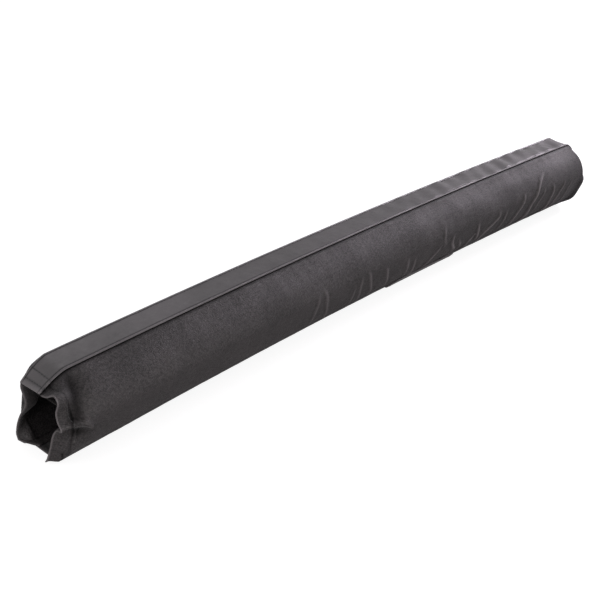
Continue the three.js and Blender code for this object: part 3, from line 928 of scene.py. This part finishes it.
def foam_mesh():
    """The outline carried along the length, drawn in at its ends on a quarter circle, with flat end faces."""
    outline = foam_outline()
    middle = np.array([0, FOAM_MIDDLE])
    angles = np.linspace(0, np.pi / 2, FOAM_CORNER_STEPS)
    straight = FOAM_HALF_LENGTH - FOAM_CORNER
    ends = straight + FOAM_CORNER * np.sin(angles)
    inset = FOAM_CORNER * (1 - np.cos(angles))
    distance = np.concatenate([-ends[::-1], np.linspace(-1, 1, FOAM_STEPS)[1:-1] * straight, ends])
    drawn = np.concatenate([inset[::-1], np.zeros(FOAM_STEPS - 2), inset])
    caps = np.linspace(0.85, 0.0, FOAM_CORNER_STEPS)[:, None]
    away = outline - middle
    reach = np.linalg.norm(away, axis=1, keepdims=True)
    body = np.stack([middle + away * (1 - d / reach) for d in drawn])
    end = body[0] - middle
    cap = middle + end[None] * caps[:, :, None]
    section = np.concatenate([cap[::-1], body, cap])
    face = np.full(FOAM_CORNER_STEPS, FOAM_HALF_LENGTH)
    x = np.concatenate([-face, distance, face])[:, None]
    columns, rows = len(x), len(outline)
    points = np.stack([np.repeat(x, rows, 1), section[..., 0] + bow(x), section[..., 1]], -1)
    i, j = np.meshgrid(np.arange(columns - 1), np.arange(rows), indexing="ij")
    a, b = (i * rows + j).ravel(), (i * rows + (j + 1) % rows).ravel()
    cloth = points[..., [0, 2, 2]] * [1, 1, 0]
    return points.reshape(-1, 3), np.stack([a, a + rows, b + rows, b], 1), cloth.reshape(-1, 3)


foam = add_object("foam_block", *foam_mesh(), FOAM_FINISH)
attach(foam, "root")
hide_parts("foam_core")


def liner_surface():
    """A level sheet under the foam, with faint waves, whose edges follow the inside of the side panels."""
    low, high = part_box("tunnel_liner")
    x = np.linspace(low[0], high[0], 240)[:, None] / METRES
    width = {}
    for side in (FRONT, REAR):
        inside = offset_section(side, np.linspace(0.4, 1, 90), -FOAM_GAP)
        width[side] = np.interp(-LINER_HEIGHT, -inside[:, 1], inside[:, 0])
    y = np.linspace(-width[FRONT], width[REAR], 36)[None, :]
    z = LINER_HEIGHT + LINER_WAVE * waves(31, x, y, count=7, shortest=20, longest=50)
    upper = np.stack([x + 0 * y, y + bow(x), z + LINER_CLOTH - LINER_THINNED], -1)
    lower = np.stack([x + 0 * y, y + bow(x), z + LINER_WAVE], -1)
    return upper, lower, np.stack([x + 0 * y, y + 0 * x, 0 * x * y], -1)


liner = add_object("liner_sheet", *closed_cloth(*liner_surface()), LINER_FINISH)
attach(liner, "root")
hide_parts("tunnel_liner")


# The straps and their tapes

def strap_path(is_slack):
    """Path of a strap's inner face: flat under the bar from the front panel's lip, and up the rear flank.

    The slack strap has slipped out in front and shows on the heel.
    """
    over_tapes = 3 * GAP + 2 * TAPE_CLOTH
    heel_edge = 0.92 * HEEL
    front_edge = heel_edge if is_slack else HEEL - STRAP_SEAM_INSET
    under = np.stack([np.linspace(-front_edge, heel_edge, 15), np.full(15, STRAP_CLOTH)], 1)
    rise = np.minimum(1, 3 * np.linspace(0, 1, 26))
    rear = offset_section(REAR, np.linspace(1, STRAP_FREE, 26), mix(GAP, over_tapes, rise))
    if not is_slack:
        return np.vstack([under, rear])
    front = offset_section(FRONT, np.linspace(STRAP_SEWN, 1, 12), GAP) * [-1, 1]
    return np.vstack([front, under, rear])


def resampled(path, count):
    """A path with evenly spaced points instead of its own, and the distance along it at each of them."""
    lengths = travelled(path)
    s = np.linspace(0, lengths[-1], count)
    return np.stack([np.interp(s, lengths, path[:, k]) for k in range(2)], -1), s


def band_surface(path, s, middle, half_width, thickness, relief):
    """A band across the pad: the path carried from side to side, with an inner face and an outer face."""
    along = np.gradient(path, axis=0)
    along /= np.linalg.norm(along, axis=1, keepdims=True)
    out = np.stack([along[:, 1], -along[:, 0]], -1)
    share = np.linspace(-1, 1, BAND_COLUMNS)[:, None]
    x = middle + share * half_width[None, :]

    def face(moved):
        y, z = (path[None, :, k] + moved * out[None, :, k] for k in (0, 1))
        return np.stack([x, y + bow(x), z], -1)

    outer = face(thickness + relief(x - middle, s[None, :], half_width[None, :]))
    normal = np.stack([0 * x, out[None, :, 0] + 0 * x, out[None, :, 1] + 0 * x], -1)
    edge = np.minimum(half_width[None, :] - np.abs(x - middle), np.minimum(s, s[-1] - s)[None, :])
    tone = 0.5 * bell(edge, 1.2) - 0.4 * bell(edge - STRAP_STITCH_INSET, 0.6)
    return outer, face(0 * x), np.stack([x, s[None, :] + 0 * x, tone], -1), normal


def strap_relief(total):
    """The relief of a strap as long as total: a rounded hem all round, with a stitched groove inside it."""
    def relief(x, s, half_width):
        edge = np.minimum(half_width - np.abs(x), np.minimum(s, total - s))
        return -0.1 * bell(edge - STRAP_STITCH_INSET, 0.7) - 0.25 * bell(edge, 1.0) - 0.05 + 0 * x
    return relief


def tape_relief(x, s, half_width):
    """The pile of a tape: the product of two fine sine waves, a little below the tape's full thickness."""
    return PILE_HEIGHT * np.sin(PILE_TURN * x) * np.sin(PILE_TURN * s) - 0.08


def strap_hem_threads(outer, out, total):
    """Four rows of stitches round a strap, inside its hem."""
    last_column, last_row = outer.shape[0] - 1, outer.shape[1] - 1
    hem_share = STRAP_STITCH_INSET / (STRAP_WIDTH / 2)

    def column(share):
        return (share * (1 - hem_share) + 1) / 2 * last_column

    low = STRAP_STITCH_INSET / total * last_row
    steps = 80
    along_rows = np.linspace(low, last_row - low, steps)
    along_columns = np.linspace(column(-0.97), column(0.97), steps)
    sides = [(column(share), along_rows) for share in (-1.0, 1.0)]
    ends = [(along_columns, row) for row in (low, last_row - low)]
    return [stitches_along(on_grid(outer, i, j), on_grid(out, i, j)) for i, j in sides + ends]


straps, strap_threads, strap_lengths = [], [], []
for n, middle in enumerate(STRAP_MIDDLES, 1):
    line, s = resampled(strap_path(n == SLACK_STRAP), STRAP_ROWS)
    strap_lengths.append(s[-1] * METRES)
    short = np.maximum(STRAP_CORNER - np.minimum(s, s[-1] - s), 0)
    half = STRAP_WIDTH / 2 - STRAP_CORNER + np.sqrt(STRAP_CORNER**2 - short**2)
    outer, inner, uv, out = band_surface(line, s, middle, half, STRAP_CLOTH, strap_relief(s[-1]))
    piece = add_object(f"strap_cloth_{n}", *closed_cloth(outer, inner, uv), STRAP_FINISH)
    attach(piece, "root")
    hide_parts(f"closure_strap_{n}")
    straps.append(piece)
    strap_threads += strap_hem_threads(outer, out, s[-1])

for kind, offset, material in (("loop", GAP, TAPE_LOOPS), ("hook", 2 * GAP + TAPE_CLOTH, TAPE_HOOKS)):
    t = np.linspace(TAPE_LOW, TAPE_HIGH, TAPE_ROWS)
    line, s = resampled(offset_section(REAR, t, offset), TAPE_ROWS)
    half = np.full(TAPE_ROWS, STRAP_WIDTH / 2 - TAPE_MARGIN)
    for n, middle in enumerate(STRAP_MIDDLES, 1):
        outer, inner, uv, _ = band_surface(line, s, middle, half, TAPE_CLOTH, tape_relief)
        piece = add_object(f"{kind}_tape_sheet_{n}", *closed_cloth(outer, inner, uv), material)
        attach(piece, "root")
        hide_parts(f"{kind}_tape_{n}")


# The sewing

def strip_threads():
    """Two rows along the strip, inside its seam ridges, and two rows across each hem."""
    up = np.zeros_like(strip_upper) + [0, 0, 1.0]
    columns = strip_upper.shape[0]
    everywhere = np.linspace(4, columns - 5, 3 * columns)
    rows = []
    for y in (-STRIP_STITCH_ACROSS, STRIP_STITCH_ACROSS):
        j = row_at(strip_rows, y / STRIP_HALF)
        rows.append(stitches_along(on_grid(strip_upper, everywhere, j), on_grid(up, everywhere, j)))
    shares = np.linspace(-0.78, 0.78, 40)
    across, set_back = row_at(strip_rows, shares), strip_set_back(shares)
    for end in (LEFT, RIGHT):
        for inset in STRIP_HEM_ROWS:
            places = end * (HALF_LENGTH - set_back - inset)
            i = np.array([column_at(strip_upper, j, x) for j, x in zip(across, places)])
            rows.append(stitches_along(on_grid(strip_upper, i, across), on_grid(up, i, across), HEM_STITCHES))
    return rows


def panel_threads(side):
    """One row round each mouth, a hem in from its edge, and one row along the lower hem between them."""
    grid, out, rows = (panels[side][k] for k in ("outer", "out", "rows"))
    found = []
    for end in (LEFT, RIGHT):
        ts = np.linspace(0.05, 0.97, 60)
        hem_column = 0.0 if end == LEFT else grid.shape[0] - 1.01
        hem_x = on_grid(grid, hem_column, row_at(rows, ts))[:, 0]
        path = path_on(grid, out, rows, hem_x - end * STITCH_TO_HEM, ts)
        found.append(stitches_along(*path, HEM_STITCHES))
    xs = np.linspace(-LOWER_STITCH_HALF, LOWER_STITCH_HALF, 700)
    found.append(stitches_along(*path_on(grid, out, rows, xs, LOWER_STITCH)))
    return found


stitches = {}
for name, parts, slot in (
    ("strip_stitches", strip_threads(), "coated_cloth"),
    ("front_panel_stitches", panel_threads(FRONT), "black_weave"),
    ("rear_panel_stitches", panel_threads(REAR), "black_weave"),
    ("strap_stitches", strap_threads, "strap_cloth"),
):
    piece = add_object(name, *joined(parts), THREAD)
    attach(piece, "root")
    stitches[name] = piece


# Each cloth piece paired with its stitches, and each strap with its length; nothing more is done with them

sewing = [stitches["strip_stitches"]]
for side, name in ((FRONT, "front_panel_stitches"), (REAR, "rear_panel_stitches")):
    piece, sewing = panels[side]["piece"], [stitches[name]]
for n, (piece, length) in enumerate(zip(straps, strap_lengths), 1):
    sewing = [stitches["strap_stitches"]] if n == 1 else ()


# Camera, light and floor

# The photograph's camera, fitted to the pad's long edges: metres, degrees and millimetres
CAMERA_PLACE = (-0.767601, -0.518033, 0.505401)
CAMERA_TURN = (60.5464, -6.2081, -49.4073)
CAMERA_LENS, CAMERA_WIDTH = 66.489, 36

camera = bpy.data.objects.new("camera", bpy.data.cameras.new("camera"))
camera.location = CAMERA_PLACE
camera.rotation_euler = Euler(np.radians(CAMERA_TURN).tolist(), "XYZ")
camera.data.lens = CAMERA_LENS
camera.data.sensor_width = CAMERA_WIDTH
bpy.context.scene.collection.objects.link(camera)
bpy.context.scene.camera = camera


def softbox(name, place, size, power, aim, colour):
    """A rectangular lamp that faces the place it aims at."""
    lamp = bpy.data.objects.new(name, bpy.data.lights.new(name, "AREA"))
    lamp.data.shape = "RECTANGLE"
    lamp.data.size, lamp.data.size_y = size
    lamp.data.energy = power
    lamp.data.color = colour
    lamp.location = place
    lamp.rotation_euler = (Vector(aim) - Vector(place)).to_track_quat("-Z", "Y").to_euler()
    bpy.context.scene.collection.objects.link(lamp)


COOL, WARM = (0.98, 0.89, 1.0), (1.0, 0.96, 0.96)
softbox("far_softbox", (1.35, 0.5, 0.6), (0.5, 0.5), 0.3, (0.3, 0, 0.05), (0.98, 0.92, 1.0))
softbox("right_softbox", (1.12, -0.06, 0.62), (0.35, 0.35), 8.5, (0.3, 0, 0.05), COOL)
softbox("graze_softbox", (1.5, -0.3, 0.25), (0.3, 0.3), 1.5, (0.2, -0.03, 0.04), COOL)
softbox("rear_softbox", (0.1, 1.0, 0.85), (0.7, 0.5), 1.3, (-0.3, 0, 0.05), (1.0, 0.96, 0.98))
softbox("left_softbox", (-1.5, 0.2, 0.9), (0.8, 0.6), 3.5, (-0.2, 0, 0.05), WARM)
softbox("mouth_softbox", (-1.4, -0.25, 0.12), (0.3, 0.3), 4.5, (-0.3, 0.02, 0.04), WARM)
softbox("front_softbox", (-0.35, -1.5, 0.2), (1.0, 0.4), 14.5, (-0.2, 0, 0.03), WARM)

world = bpy.context.scene.world or bpy.data.worlds.new("studio")
bpy.context.scene.world = world
world.use_nodes = True
tree = world.node_tree
tree.nodes.clear()
seen = add_node(tree, "ShaderNodeLightPath", {}).outputs["Is Camera Ray"]
WORLD_LIGHT, WORLD_SEEN = 0.45, 1.0
strength = spread(tree, seen, 0.0, 1.0, WORLD_LIGHT, WORLD_SEEN)
background = add_node(tree, "ShaderNodeBackground", {"Color": (1, 1, 1, 1), "Strength": strength})
add_node(tree, "ShaderNodeOutputWorld", {0: background.outputs[0]})

FLOOR_HALF, FLOOR_HEIGHT, FLOOR_GLOW = 6000.0, -0.6, 0.85
corners = [(-1, -1), (1, -1), (1, 1), (-1, 1)]
floor_points = np.array([(x * FLOOR_HALF, y * FLOOR_HALF, FLOOR_HEIGHT) for x, y in corners]) * METRES
floor_mesh = bpy.data.meshes.new("studio_floor")
floor_mesh.from_pydata(floor_points, [], [(0, 1, 2, 3)])
floor = bpy.data.objects.new("studio_floor", floor_mesh)
bpy.context.scene.collection.objects.link(floor)
material, tree, shader = new_tree("studio_floor")
seen = add_node(tree, "ShaderNodeLightPath", {}).outputs["Is Camera Ray"]
feed(tree, shader, {
    "Base Color": (0.32, 0.32, 0.32, 1),
    "Roughness": 0.9,
    "Emission Color": (1, 1, 1, 1),
    "Emission Strength": maths(tree, "MULTIPLY", seen, FLOOR_GLOW),
})
floor_mesh.materials.append(material)

bpy.context.scene.view_settings.view_transform = "Standard"
